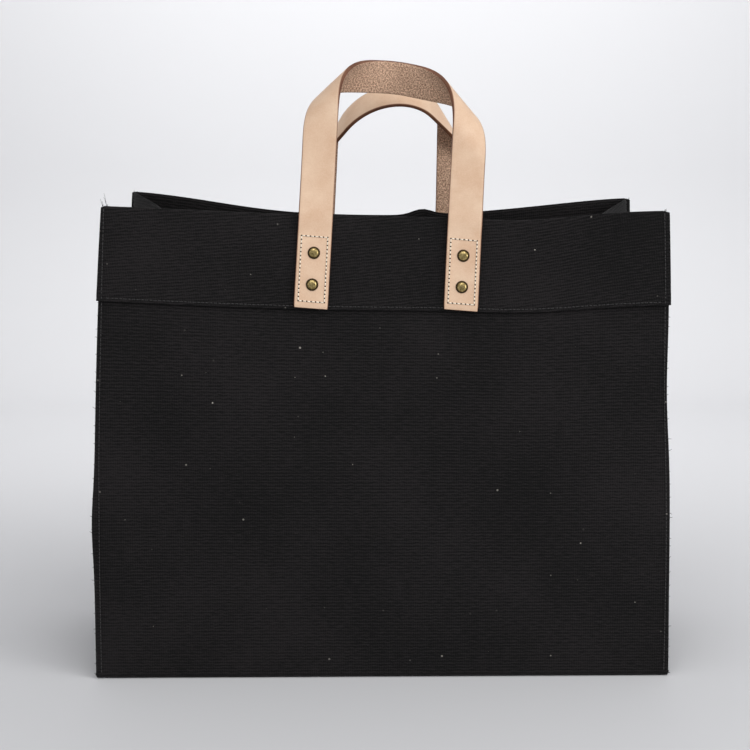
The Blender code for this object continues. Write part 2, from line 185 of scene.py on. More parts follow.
def wall_point(side, along, height):
    """A point on a wall's middle surface: metres along it from its centre line, and height up the cloth."""
    grown = pull_in(height)
    lifted = height + CLOTH / 2 * (1 - smooth(height, 0.0, 0.020))
    foot = 0.0
    if height < FOOT_ROUND:
        foot = FOOT_ROUND - math.sqrt(FOOT_ROUND**2 - (FOOT_ROUND - height) ** 2)
    if side in (FRONT, REAR):
        u = along / seam_x(1 if along > 0 else -1, height)
        share = across(u) * grown
        z = lifted - SAGS[side] * share - droop(side, u) * grown - RIM_TILTS[side] * along * grown
        z += REAR_RIM_RISE * grown if side == REAR else hem_rise(RIGHT if along > 0 else LEFT, height) * u * u
        out = half_depth(height) - CLOTH / 2 - BOWS[side] * share - foot + slack(side, u, height)
        return Vector((along, -out if side == FRONT else out, z))
    u = along / (half_depth(height) - CLOTH)
    share = across(u) * grown
    sign = 1 if side == RIGHT else -1
    tilt = (RIM_TILTS[FRONT] + RIM_TILTS[REAR]) / 2 + (RIM_TILTS[REAR] - RIM_TILTS[FRONT]) / 2 * u
    x = seam_x(sign, height) - 0.0005 - BOWS[side] * share - foot + slack(side, u, height)
    z = lifted - SAGS[side] * share - tilt * sign * half_width(height) * grown
    z += REAR_RIM_RISE * (1 + u) / 2 * grown + hem_rise(side, height) * (1 - u) / 2
    return Vector((sign * x, along, z))


def wall_normal(side, along, height):
    """The outward normal of a wall, from two short steps across it."""
    step = 0.001
    low = max(height - step, 0.0)
    sideways = wall_point(side, along + step, height) - wall_point(side, along - step, height)
    upward = wall_point(side, along, height + step) - wall_point(side, along, low)
    normal = sideways.cross(upward).normalized()
    outward = {FRONT: (0, -1, 0), REAR: (0, 1, 0), LEFT: (-1, 0, 0), RIGHT: (1, 0, 0)}[side]
    return normal if normal.dot(Vector(outward)) > 0 else -normal


def off_wall(side, along, height, distance):
    """A point that stands off a wall's middle surface, outward when distance is positive."""
    return wall_point(side, along, height) + wall_normal(side, along, height) * distance


def linear(code):
    """An sRGB hex colour as linear RGBA."""
    parts = [int(code[i : i + 2], 16) / 255 for i in (1, 3, 5)]
    return (*[p / 12.92 if p <= 0.04045 else ((p + 0.055) / 1.055) ** 2.4 for p in parts], 1.0)


def add(tree, kind, inputs=(), **settings):
    """Adds a node. An input given as a socket is linked, and any other value is set on it."""
    made = tree.nodes.new(kind)
    for key, value in settings.items():
        setattr(made, key, value)
    for key, value in dict(inputs).items():
        if isinstance(value, bpy.types.NodeSocket):
            tree.links.new(value, made.inputs[key])
        else:
            made.inputs[key].default_value = value
    return made


def new_material(name):
    """A material with a node tree, and its Principled shader."""
    material = bpy.data.materials.new(name)
    material.use_nodes = True
    return material, material.node_tree, material.node_tree.nodes["Principled BSDF"]


def bands(pitch):
    """The Wave texture's scale for bands of a pitch in metres."""
    return 2 * math.pi / (20 * pitch)


def black_duck(name, slope):
    """Piece-dyed cotton duck: matt black, with a crosswise rib, uneven yarns and a few specks of lint.

    The real rib is 0.7 mm, too fine to show, so it is drawn 2.4 mm apart. slope turns the rib off the level.
    The lint is mostly faint, with a few brighter bits.
    """
    rib = 0.0024
    slub_length = 0.00625
    slub_width = 0.001111
    faded_patch = 0.0909
    lint_spacing = 0.021
    material, tree, shader = new_material(name)
    lay = add(tree, "ShaderNodeAttribute", attribute_name="lay")
    turned = add(
        tree,
        "ShaderNodeVectorRotate",
        {"Vector": lay.outputs["Vector"], "Angle": slope},
        rotation_type="Z_AXIS",
    )
    place = turned.outputs["Vector"]
    waves = {"Vector": place, "Distortion": 3.2, "Detail": 3.0, "Detail Scale": 2.2}
    weft = add(tree, "ShaderNodeTexWave", {**waves, "Scale": bands(rib)}, bands_direction="Y")
    warp = add(tree, "ShaderNodeTexWave", {**waves, "Scale": bands(rib * 0.7)}, bands_direction="X")
    drawn_out = (1 / slub_length, 1 / slub_width, 1.0)
    slubs = add(tree, "ShaderNodeMapping", {"Vector": place, "Scale": drawn_out})
    yarn = add(tree, "ShaderNodeTexNoise", {"Vector": slubs.outputs[0], "Scale": 1.0, "Detail": 2.0})
    tone = add(tree, "ShaderNodeTexNoise", {"Vector": place, "Scale": 1 / faded_patch, "Detail": 3.0})
    woven = add(tree, "ShaderNodeMath", {0: weft.outputs["Fac"], 1: 0.36}, operation="MULTIPLY")
    crossed = add(
        tree,
        "ShaderNodeMath",
        {0: warp.outputs["Fac"], 1: 0.18, 2: woven.outputs[0]},
        operation="MULTIPLY_ADD",
    )
    relief = add(
        tree,
        "ShaderNodeMath",
        {0: yarn.outputs["Fac"], 1: 0.90, 2: crossed.outputs[0]},
        operation="MULTIPLY_ADD",
    )
    shade = add(
        tree,
        "ShaderNodeMath",
        {0: tone.outputs["Fac"], 1: 0.75, 2: relief.outputs[0]},
        operation="MULTIPLY_ADD",
    )
    range_of_tone = {"Value": shade.outputs[0], "From Min": 0.88, "From Max": 1.36}
    spread_tone = add(tree, "ShaderNodeMapRange", range_of_tone)
    dyed = add(
        tree,
        "ShaderNodeMix",
        {0: spread_tone.outputs[0], 6: linear("#040404"), 7: linear("#1d1a1b")},
        data_type="RGBA",
    )
    specks = add(
        tree, "ShaderNodeTexVoronoi", {"Vector": place, "Scale": 1 / lint_spacing}, voronoi_dimensions="2D"
    )
    parts = add(tree, "ShaderNodeSeparateColor", {"Color": specks.outputs["Color"]})
    size = add(
        tree,
        "ShaderNodeMapRange",
        {"Value": parts.outputs[0], "From Min": 0.62, "From Max": 1.0, "To Min": 0.0, "To Max": 0.038},
    )
    near = add(
        tree,
        "ShaderNodeMath",
        {0: specks.outputs["Distance"], 1: size.outputs[0]},
        operation="LESS_THAN",
    )
    dim = add(tree, "ShaderNodeMath", {0: parts.outputs[1], 1: 3.0}, operation="POWER")
    faint = add(tree, "ShaderNodeMath", {0: near.outputs[0], 1: dim.outputs[0]}, operation="MULTIPLY")
    linted = add(
        tree,
        "ShaderNodeMix",
        {0: faint.outputs[0], 6: dyed.outputs[2], 7: linear("#a39e96")},
        data_type="RGBA",
    )
    bump = add(tree, "ShaderNodeBump", {"Height": relief.outputs[0], "Strength": 0.85, "Distance": 0.0006})
    tree.links.new(linted.outputs[2], shader.inputs["Base Color"])
    tree.links.new(bump.outputs["Normal"], shader.inputs["Normal"])
    shader.inputs["Roughness"].default_value = 0.92
    shader.inputs["Specular IOR Level"].default_value = 0.22
    shader.inputs["Sheen Weight"].default_value = 0.03
    return material


duck = black_duck("black cotton duck, plain woven", 0.0)
duck_on_slope = black_duck("black cotton duck, band cut off the grain", math.radians(-6.0))


def finished(name, mesh, materials):
    """Makes a smooth-shaded piece of a bmesh, and frees the bmesh."""
    data = bpy.data.meshes.new(name)
    mesh.to_mesh(data)
    mesh.free()
    data.shade_smooth()
    for material in materials:
        data.materials.append(material)
    piece = bpy.data.objects.new(name, data)
    bpy.context.scene.collection.objects.link(piece)
    return piece


def sheet_of(name, rows, lays, thickness, materials, rounding=0.0004):
    """An even sheet centred on rows of points. lays holds each point's place on the flat sheet, in metres.

    One material covers it all. Three are for its face, its back and its cut edges.
    """
    mesh = bmesh.new()
    place = mesh.verts.layers.float_vector.new("lay")
    grid = []
    for row, flat_row in zip(rows, lays):
        verts = [mesh.verts.new(point) for point in row]
        for vert, flat in zip(verts, flat_row):
            vert[place] = (*flat, 0.0)
        grid.append(verts)
    for lower, upper in zip(grid, grid[1:]):
        for i in range(len(lower) - 1):
            mesh.faces.new((lower[i], lower[i + 1], upper[i + 1], upper[i]))
    piece = finished(name, mesh, materials)
    shell = piece.modifiers.new("Thickness", "SOLIDIFY")
    shell.thickness = thickness
    shell.offset = 0.0
    if len(materials) > 2:
        shell.material_offset = 1
        shell.material_offset_rim = 2
    edge = piece.modifiers.new("Rounded edges", "BEVEL")
    edge.width = rounding
    edge.segments = 2
    edge.limit_method = "ANGLE"
    edge.angle_limit = math.radians(50)
    return piece


PANEL_COLUMNS = 92
FLANGE_COLUMNS = 3
FLANGE_DROOP = 0.25


def panel_grid(side, heights, offsets, tip_extra=0.0):
    """Rows across a front or rear sheet, flange tip to flange tip, and their places on the flat cloth."""
    rows, lays = [], []
    for height, distance in zip(heights, offsets):
        left, right = seam_x(-1, height), seam_x(1, height)
        left_tip = tip_x(-1, height) + tip_extra
        right_tip = tip_x(1, height) + tip_extra
        stations = [
            *spread(-left_tip, -left, FLANGE_COLUMNS)[:-1],
            *spread(-left, right, PANEL_COLUMNS),
            *spread(right, right_tip, FLANGE_COLUMNS)[1:],
        ]
        if side == REAR:
            stations.reverse()
        row = []
        for along in stations:
            point = off_wall(side, along, height, distance)
            beyond = max(0.0, abs(along) - (left if along < 0 else right))
            point.z -= FLANGE_DROOP * beyond * smooth(height, HEIGHT - 0.004, HEIGHT)
            row.append(point)
        rows.append(row)
        lays.append([(along, height) for along in stations])
    return rows, lays


foot_rows = [0.0, 0.0006, 0.0014, 0.0024, 0.0036]
below_band = spread(0.006, BAND_BOTTOM, 66)
under_band = spread(BAND_BOTTOM, HEIGHT - 0.0012, 17)[1:]
panel_heights = [*foot_rows, *below_band, *under_band, HEIGHT - 0.0004]
panel_offsets = [*[0.0] * (len(panel_heights) - 1), 0.0002]

for side in (FRONT, REAR):
    rows, lays = panel_grid(side, panel_heights, panel_offsets)
    panel = sheet_of(f"{side}_panel_cloth", rows, lays, CLOTH, [duck])
    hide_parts(f"{side}_panel")
    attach(panel, "bag")


# ---- Side gussets ----
# Two strips of the same duck. Each edge turns out behind the front or rear panel's flange, and the mouth end
# folds inward like a bellows, because the handles draw the rims together.

CORNER_ROUND = 0.0014
GUSSET_COLUMNS = 36
GUSSET_TRIM = 0.0006
# Each sheet's weave starts at its own place, so that no two show the same yarns.
GUSSET_WEAVE = 0.3


def gusset_grid(side, heights, offsets):
    """Rows along a gusset sheet, from the front flange's tip round to the rear one's."""
    sign = 1 if side == RIGHT else -1
    rows, lays = [], []
    for height, distance in zip(heights, offsets):
        reach = half_depth(height) - CLOTH / 2 - LAYER - distance
        faced = reach - CORNER_ROUND
        face = [off_wall(side, along, height, distance) for along in spread(-faced, faced, GUSSET_COLUMNS)]
        tip = tip_x(sign, height) - GUSSET_TRIM
        row = []
        for end, foot in ((-1, face[0]), (1, face[-1])):
            lip = []
            for x in spread(tip, abs(foot.x) + CORNER_ROUND, 2):
                lip.append(Vector((sign * x, end * reach, foot.z)))
            for turn in (30, 60):
                angle = math.radians(turn)
                x = abs(foot.x) + CORNER_ROUND * (1 - math.sin(angle))
                y = faced + CORNER_ROUND * math.cos(angle)
                lip.append(Vector((sign * x, end * y, foot.z)))
            row.append(lip)
        line = [*row[0], *face, *reversed(row[1])]
        flat = [0.0]
        for first, second in zip(line, line[1:]):
            flat.append(flat[-1] + (second - first).length)
        if side == LEFT:
            line.reverse()
        rows.append(line)
        lays.append([(reached + GUSSET_WEAVE, height) for reached in flat])
    return rows, lays


for side in (LEFT, RIGHT):
    rows, lays = gusset_grid(side, panel_heights, panel_offsets)
    gusset = sheet_of(f"{side}_gusset_cloth", rows, lays, CLOTH, [duck])
    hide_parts(f"{side}_gusset")
    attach(gusset, "bag")


# ---- Base ----
# The floor of the bag is the same duck, running on from the front panel round a soft fold. It lies flat, with
# a very slight ripple where the cloth is slack.

base_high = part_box("base_panel")[1]
RIPPLE = 0.0005
BASE_WEAVE = 1.0


def base_grid():
    """Rows across the base from front to rear, and their places on the flat cloth."""
    rows, lays = [], []
    reach_x = base_high.x + 0.0002
    reach_y = base_high.y + 0.0004
    for y in spread(-reach_y, reach_y, 30):
        row = []
        for x in spread(-reach_x, reach_x, 60):
            edge = (1 - (x / reach_x) ** 6) * (1 - (y / reach_y) ** 6)
            ripple = RIPPLE * (1 + math.sin(23 * x + 9 * y) * math.sin(31 * y - 7 * x)) * edge
            row.append(Vector((x, y, CLOTH / 2 + 0.00005 + ripple)))
        rows.append(row)
        lays.append([(point.x, point.y + BASE_WEAVE) for point in row])
    return rows, lays


rows, lays = base_grid()
base = sheet_of("base_panel_cloth", rows, lays, CLOTH, [duck])
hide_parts("base_panel")
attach(base, "bag")


# ---- Mouth bands ----
# A 71 mm facing of duck round the outside of the mouth, one length on each wall. Its top edge rolls over the
# rim with the wall's own top edge, and its lower edge is turned under and topstitched.

TOPSTITCH_RISE = 0.0024
# The rows stand closest together over the turned-under hem and at the rim, where the band bends most.
band_heights = [
    BAND_BOTTOM,
    BAND_BOTTOM + 0.0008,
    BAND_BOTTOM + 0.0016,
    BAND_BOTTOM + TOPSTITCH_RISE,
    BAND_BOTTOM + 0.0034,
    BAND_BOTTOM + 0.0050,
    BAND_BOTTOM + 0.0075,
    *spread(BAND_BOTTOM + 0.0105, HEIGHT - 0.0018, 16),
    HEIGHT - 0.0008,
    HEIGHT,
    HEIGHT + 0.0005,
]


def band_offset(height):
    """How far the band stands off the wall: swollen over its turned-under hem, pinched along the stitches."""
    over_hem = 0.0007 * (1 - smooth(height, BAND_BOTTOM + 0.006, BAND_BOTTOM + 0.010))
    pinch = 0.0004 * hump(height, BAND_BOTTOM + TOPSTITCH_RISE, 0.0010)
    over_rim = {HEIGHT: 0.0002, HEIGHT + 0.0005: 0.0007}.get(height, 0.0)
    return LAYER + over_hem - pinch - over_rim


band_offsets = [band_offset(height) for height in band_heights]
for side in (FRONT, REAR, LEFT, RIGHT):
    if side in (FRONT, REAR):
        rows, lays = panel_grid(side, band_heights, band_offsets, tip_extra=0.0012)
    else:
        rows, lays = gusset_grid(side, band_heights, band_offsets)
    band = sheet_of(f"{side}_band_cloth", rows, lays, CLOTH, [duck_on_slope])
    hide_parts(f"{side}_band")
    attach(band, "bag")


# ---- Black seams ----
# Bonded black polyester thread, lock-stitched eight stitches to the inch: a row along the foot of each band
# and one up each corner seam. Each stitch shows on both faces, and the twist catches a little light.

STITCH = 0.0031
STITCH_SINK = 0.0003


def thread_material(name, dark, light):
    """Heavy sewing thread, 0.7 to 0.9 mm thick, twisted about 1 mm a turn: the lighter colour along each turn
    is a painted sheen.
    """
    material, tree, shader = new_material(name)
    spot = add(tree, "ShaderNodeTexCoord")
    twist = add(
        tree,
        "ShaderNodeTexWave",
        {"Vector": spot.outputs["Object"], "Scale": bands(0.0010), "Distortion": 2.0},
        bands_direction="DIAGONAL",
    )
    # The thread's colour runs lighter along each turn of the twist: a painted sheen, on top of the shader's
    # own.
    twist_painted_sheen = add(
        tree,
        "ShaderNodeMix",
        {0: twist.outputs["Fac"], 6: linear(dark), 7: linear(light)},
        data_type="RGBA",
    )
    bump = add(tree, "ShaderNodeBump", {"Height": twist.outputs["Fac"], "Strength": 0.4, "Distance": 0.0002})
    tree.links.new(twist_painted_sheen.outputs[2], shader.inputs["Base Color"])
    tree.links.new(bump.outputs["Normal"], shader.inputs["Normal"])
    shader.inputs["Roughness"].default_value = 0.6
    shader.inputs["Specular IOR Level"].default_value = 0.4
    return material


black_thread = thread_material("black polyester thread", "#161516", "#3d3b3b")


def ring_of(mesh, middle, beside, upward, radius, sides):
    """A ring of points round the middle of a thread."""
    ring = []
    for i in range(sides):
        angle = 2 * math.pi * i / sides
        ring.append(mesh.verts.new(middle + (beside * math.cos(angle) + upward * math.sin(angle)) * radius))
    return ring


def add_stitch(mesh, start, end, normal, radius, bare):
    """One stitch, up out of one hole and down the next. bare is the share of its length each hole takes."""
    sides = 6
    direction = (end - start).normalized()
    beside = direction.cross(normal).normalized()
    rings = []
    for share in (bare, bare + 0.10, 0.34, 0.66, 0.90 - bare, 1 - bare):
        lift = math.sin(math.pi * (share - bare * 0.8) / (1 - bare * 1.6)) ** 0.55
        middle = start.lerp(end, share) + normal * (lift * radius * 1.15 - STITCH_SINK * (1 - lift))
        rings.append(ring_of(mesh, middle, beside, normal, radius * (0.55 + 0.45 * lift), sides))
    for first, second in zip(rings, rings[1:]):
        for i in range(sides):
            j = (i + 1) % sides
            mesh.faces.new((first[i], first[j], second[j], second[i]))
    mesh.faces.new(list(reversed(rings[0])))
    mesh.faces.new(rings[-1])


def stitch_row(name, runs, radius, materials, bare=0.06):
    """Stitches along runs of (point, normal) holes, all in one piece."""
    mesh = bmesh.new()
    for holes in runs:
        for (start, up), (end, _) in zip(holes, holes[1:]):
            add_stitch(mesh, start, end, up, radius, bare)
    bmesh.ops.recalc_face_normals(mesh, faces=mesh.faces)
    return finished(name, mesh, materials)


def holes_on_wall(side, stations, distance):
    """Stitch holes at (along, height) stations on a wall, standing off it by distance."""
    holes = []
    for along, height in stations:
        normal = wall_normal(side, along, height)
        facing = normal if distance > 0 else -normal
        holes.append((off_wall(side, along, height, distance), facing))
    return holes


BLACK_RADIUS = 0.00036
for side in (FRONT, REAR, LEFT, RIGHT):
    height = BAND_BOTTOM + TOPSTITCH_RISE
    if side in (FRONT, REAR):
        low, high = -seam_x(-1, height) + 0.002, seam_x(1, height) - 0.002
    else:
        high = half_depth(height) - 0.005
        low = -high
    count = round((high - low) / STITCH)
    stations = [(along, height) for along in spread(low, high, count)]
    outside = band_offset(height) + CLOTH / 2
    runs = [holes_on_wall(side, stations, outside), holes_on_wall(side, stations, -CLOTH / 2)]
    topstitch = stitch_row(f"{side}_band_topstitch", runs, BLACK_RADIUS, [black_thread])
    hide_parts(f"{side}_topstitch")
    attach(topstitch, "bag")

SEAM_OUTSIDE = 0.0008
below_hem = (0.004, BAND_BOTTOM - 0.001, 0.0)
through_band = (BAND_BOTTOM + 0.001, HEIGHT - 0.001, LAYER)
for side in (FRONT, REAR):
    for end, sign in ((LEFT, -1), (RIGHT, 1)):
        runs = []
        for low, high, layer in (below_hem, through_band):
            heights = spread(low, high, round((high - low) / STITCH))
            stations = [(sign * (seam_x(sign, h) + SEAM_OUTSIDE), h) for h in heights]
            runs.append(holes_on_wall(side, stations, CLOTH / 2 + layer + 0.0001))
            runs.append(holes_on_wall(side, stations, -CLOTH / 2 - LAYER - layer))
        seam = stitch_row(f"{side}_{end}_side_seam", runs, BLACK_RADIUS, [black_thread])
        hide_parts(f"{side}_{end}_corner_seam")
        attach(seam, "bag")


# ---- Leather handles ----
# Each handle is a 1 in strap of vegetable-tanned cowhide, 3 mm thick, in its natural colour, its ends
# stitched and riveted to the band. A strap can't bend edgewise, so at each shoulder it rolls over a slanted
# crease, which turns its suede underside out along the top. Its cut edges are burnished brown.

STRAP_WIDTH = 0.0254
STRAP_THICK = 0.0030
LEG_SPACING = 0.111
TAB_START = BAND_BOTTOM + 0.0006
TAB_TOP = TAB_START + 0.0555
ROOT_BEND = 0.060
RIM_CLEARANCE = 0.0013
CORNER_TRIM = 0.0003
STRAP_COLUMNS = 10
REAR_STRAP_HIDE = 1.0
# The shoulder fold's radius and how far round it the strap wraps, the straight leg below it, and the length
# over which the two legs' stances even out. The rear handle has slumped lower, over tighter folds.
handle_shapes = {
    FRONT: {"radius": 0.019, "wrap": 155.0, "rise": 0.078, "meet": 0.085},
    REAR: {"radius": 0.008, "wrap": 113.0, "rise": 0.056, "meet": 0.080},
}
# How each leg stands: its lean to the right as a slope, and how much taller it is than the straight leg.
leg_stances = {
    (FRONT, LEFT): (0.055, 0.0),
    (FRONT, RIGHT): (0.050, -0.011),
    (REAR, LEFT): (0.055, -0.006),
    (REAR, RIGHT): (0.010, 0.009),
}


def fold_of(side):
    """The shoulder fold's slope, turned directions and lengths, from its radius and wrap."""
    radius, wrap = handle_shapes[side]["radius"], math.radians(handle_shapes[side]["wrap"])
    slope = math.atan(math.sqrt(-1 / math.cos(wrap)))
    axis = Vector((math.cos(slope), 0, math.sin(slope)))
    over = Vector((-math.sin(slope), 0, math.cos(slope)))
    after = over * math.cos(wrap) + Vector((0, 1, 0)) * math.sin(wrap)
    onward = axis * math.sin(slope) + after * math.cos(slope)
    widthways = axis * math.cos(slope) - after * math.sin(slope)
    rolled_length = radius * wrap
    end = (rolled_length + STRAP_WIDTH / 2 * math.sin(slope)) / math.cos(slope)
    fold = {
        "radius": radius, "wrap": wrap, "slope": slope, "axis": axis, "over": over, "after": after,
        "onward": onward, "to_front": onward.cross(widthways), "rolled_length": rolled_length, "end": end,
    }
    fold["turn"] = math.acos(onward.x)
    fold["arch"] = (LEG_SPACING / 2 - rolled(fold, end, 0.0).x) / math.sin(fold["turn"])
    fold["half"] = end + fold["arch"] * fold["turn"]
    return fold


def rolled(fold, s, t):
    """The leg and its fold: s is up the strap from where it starts to roll, and t is across it, inward."""
    along = s * math.sin(fold["slope"]) + t * math.cos(fold["slope"])
    over = s * math.cos(fold["slope"]) - t * math.sin(fold["slope"])
    if over <= 0:
        return fold["axis"] * along + fold["over"] * over
    turn = min(over / fold["radius"], fold["wrap"])
    rest = max(0.0, over - fold["rolled_length"])
    return (
        fold["axis"] * along
        + fold["over"] * (fold["radius"] * math.sin(turn))
        + Vector((0, 1, 0)) * (fold["radius"] * (1 - math.cos(turn)))
        + fold["after"] * rest
    )


STRAP_OFF = CLOTH / 2 + LAYER + 0.0002 + STRAP_THICK / 2


def stood(side, end, x, behind, rise):
    """Puts a strap point on or above the wall, by x, how far behind the leg, and rise past the tab."""
    lean, taller = leg_stances[side, end]
    centre = (-1 if end == LEFT else 1) * LEG_SPACING / 2
    rise += taller * smooth(rise, 0.0, handle_shapes[side]["rise"])
    height = TAB_TOP + rise - lean * (x - centre) * (1 - smooth(rise, 0.01, 0.05))
    moved = lean * (height - TAB_START)
    x += moved
    centre += moved
    free = max(0.0, height - HEIGHT)
    loose = smooth(free, 0.0, ROOT_BEND)
    held = min(height, HEIGHT)
    foot = off_wall(side, x, held, STRAP_OFF)
    middle = off_wall(side, centre, held, STRAP_OFF)
    low, high = wall_point(side, centre, HEIGHT - 0.01), wall_point(side, centre, HEIGHT)
    slope = abs((high.y - low.y) / (high.z - low.z))
    bent = min(free, ROOT_BEND)
    back = slope * (bent - bent * bent / (2 * ROOT_BEND)) + behind
    # Stiff leather starts to straighten where the stitching stops, so at the rim it stands clear of the band.
    back -= RIM_CLEARANCE * smooth(rise, 0.0, HEIGHT - TAB_TOP)
    y = foot.y + (middle.y - foot.y) * loose + (back if side == FRONT else -back)
    z = foot.z + (middle.z - foot.z) * loose + free
    return Vector((x, y, z))


def strap_point(side, fold, s, t):
    """A point on a handle's middle surface. s runs from the handle's middle, negative to the left."""
    from_fold = fold["half"] - abs(s)
    local = rolled(fold, min(from_fold, fold["end"]), t)
    if from_fold > fold["end"]:
        turned = (from_fold - fold["end"]) / fold["arch"]
        local += fold["onward"] * (fold["arch"] * math.sin(turned))
        local += fold["to_front"] * (fold["arch"] * (1 - math.cos(turned)))
    x = local.x - LEG_SPACING / 2
    if s > 0:
        x = -x
    meet, leg = handle_shapes[side]["meet"], handle_shapes[side]["rise"]
    share = smooth(s, -meet, meet)
    point = Vector((0, 0, 0))
    for end, weight in ((LEFT, 1 - share), (RIGHT, share)):
        if weight > 0:
            point += stood(side, end, x, local.y, leg + local.z) * weight
    return point


def leather(name, dark, light, cell, relief, roughness, burnish, nap=0.5):
    """Vegetable-tanned hide. cell is the grain's or the fibre's width, and burnish darkens the face's edges.

    nap is the weight of the fine grain or fibre against the hide's broad cloudiness.
    """
    cloud_size = 0.02222
    material, tree, shader = new_material(name)
    lay = add(tree, "ShaderNodeAttribute", attribute_name="lay")
    place = lay.outputs["Vector"]
    broad = {"Vector": place, "Scale": 1 / cloud_size, "Detail": 4.0, "Roughness": 0.6}
    cloud = add(tree, "ShaderNodeTexNoise", broad)
    fine = {"Vector": place, "Scale": 1 / cell, "Detail": 3.0, "Roughness": 0.65}
    pores = add(tree, "ShaderNodeTexNoise", fine)
    clouded = add(tree, "ShaderNodeMath", {0: cloud.outputs["Fac"], 1: 1.5 - nap}, operation="MULTIPLY")
    mixed = add(
        tree,
        "ShaderNodeMath",
        {0: pores.outputs["Fac"], 1: nap, 2: clouded.outputs[0]},
        operation="MULTIPLY_ADD",
    )
    tone = add(tree, "ShaderNodeMapRange", {"Value": mixed.outputs[0], "From Min": 0.52, "From Max": 0.98})
    hide = add(
        tree,
        "ShaderNodeMix",
        {0: tone.outputs[0], 6: linear(dark), 7: linear(light)},
        data_type="RGBA",
    )
    across_strap = add(tree, "ShaderNodeSeparateXYZ", {"Vector": place})
    from_middle = add(tree, "ShaderNodeMath", {0: across_strap.outputs["X"]}, operation="ABSOLUTE")
    edge = add(
        tree,
        "ShaderNodeMapRange",
        {
            "Value": from_middle.outputs[0],
            "From Min": STRAP_WIDTH / 2 - 0.0011,
            "From Max": STRAP_WIDTH / 2,
            "To Max": burnish,
        },
        interpolation_type="SMOOTHSTEP",
    )
    edged = add(
        tree,
        "ShaderNodeMix",
        {0: edge.outputs[0], 6: hide.outputs[2], 7: linear("#7c5540")},
        data_type="RGBA",
    )
    raised = {"Height": pores.outputs["Fac"], "Strength": relief, "Distance": 0.0003}
    bump = add(tree, "ShaderNodeBump", raised)
    tree.links.new(edged.outputs[2], shader.inputs["Base Color"])
    tree.links.new(bump.outputs["Normal"], shader.inputs["Normal"])
    shader.inputs["Roughness"].default_value = roughness
    shader.inputs["Specular IOR Level"].default_value = 0.35
    return material


grain_side = leather(
    "vegetable-tanned leather, grain side", "#cfab8e", "#dfc2a7", 0.0011, 0.25, 0.5, 0.85
)
flesh_side = leather(
    "vegetable-tanned leather, suede side", "#6f4d39", "#f2cdb0", 0.0012, 1.0, 0.95, 0.3, nap=1.35
)
cut_edge = leather("burnished leather edge", "#553425", "#83573f", 0.0009, 0.4, 0.45, 0.0)

for side in (FRONT, REAR):
    fold = fold_of(side)
    half = fold["half"]
    strap_end = half + handle_shapes[side]["rise"] + TAB_TOP - TAB_START
    # The stations crowd together from a little below the fold upward.
    leg = spread(-strap_end, -(half + 0.022), 26)[:-1]
    stations = [*leg, *spread(-(half + 0.022), 0.0, 44)]
    stations = [*stations, *[-s for s in reversed(stations[:-1])]]
    rows, lays = [], []
    for s in stations:
        reach = STRAP_WIDTH / 2 - CORNER_TRIM * (1 - smooth(strap_end - abs(s), 0.0, 0.0015))
        across_strap = spread(-reach, reach, STRAP_COLUMNS)
        if side == REAR:
            across_strap.reverse()
        rows.append([strap_point(side, fold, s, t) for t in across_strap])
        lays.append([(t, s + (0.0 if side == FRONT else REAR_STRAP_HIDE)) for t in across_strap])
    sides_of_hide = [grain_side, flesh_side, cut_edge]
    strap = sheet_of(f"{side}_handle_strap", rows, lays, STRAP_THICK, sides_of_hide, 0.0006)
    # Thickness and rounded edges become real mesh here, and the modifiers are dropped.
    graph = bpy.context.evaluated_depsgraph_get()
    bpy.context.view_layer.update()
    made = bpy.data.meshes.new_from_object(strap.evaluated_get(graph), depsgraph=graph)
    strap.modifiers.clear()
    strap.data = made
    made.shade_smooth()
    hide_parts(f"{side}_handle_loop", f"{side}_left_strap_end", f"{side}_right_strap_end")
    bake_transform(strap)


# ---- Box stitching ----
# Waxed cream linen thread, sewn round each strap end in a box, through awl holes 3.1 mm apart. The needle
# side lies on the leather and the bobbin side on the cloth inside.

BOX_WIDTH = 0.0194
BOX_HEIGHT = 0.0492
BOX_RISE = 0.0051
CREAM_RADIUS = 0.00044
CREAM_BARE = 0.15
AWL_RADIUS = 0.00062
AWL_PROUD = 0.00003
cream_thread = thread_material("waxed cream linen thread", "#e3d6bf", "#fdf7ea")
# The awl holes are flat dark discs laid on the leather: painted shade where each hole sinks in.
awl_hole_painted_shade, tree, shader = new_material("awl hole, painted shade on the leather")
shader.inputs["Base Color"].default_value = linear("#2c1a10")
shader.inputs["Roughness"].default_value = 0.9


def on_strap_end(side, end, t, rise, distance):
    """A point over a strap end, and the outward normal there. t is across it, rise is up from its cut end."""
    centre = (-1 if end == LEFT else 1) * LEG_SPACING / 2
    below = rise - (TAB_TOP - TAB_START)
    step = 0.001
    point = stood(side, end, centre + t, 0.0, below)
    sideways = stood(side, end, centre + t + step, 0.0, below) - point
    upward = stood(side, end, centre + t, 0.0, below + step) - point
    normal = sideways.cross(upward).normalized()
    if side == REAR:
        normal = -normal
    return point + normal * distance, normal


def box_path():
    """The holes round the box, as (t, rise), closed."""
    across_count, up_count = round(BOX_WIDTH / STITCH), round(BOX_HEIGHT / STITCH)
    half = BOX_WIDTH / 2
    low, high = BOX_RISE, BOX_RISE + BOX_HEIGHT
    path = [(t, low) for t in spread(-half, half, across_count)]
    path += [(half, rise) for rise in spread(low, high, up_count)[1:]]
    path += [(t, high) for t in spread(half, -half, across_count)[1:]]
    path += [(-half, rise) for rise in spread(high, low, up_count)[1:]]
    return path


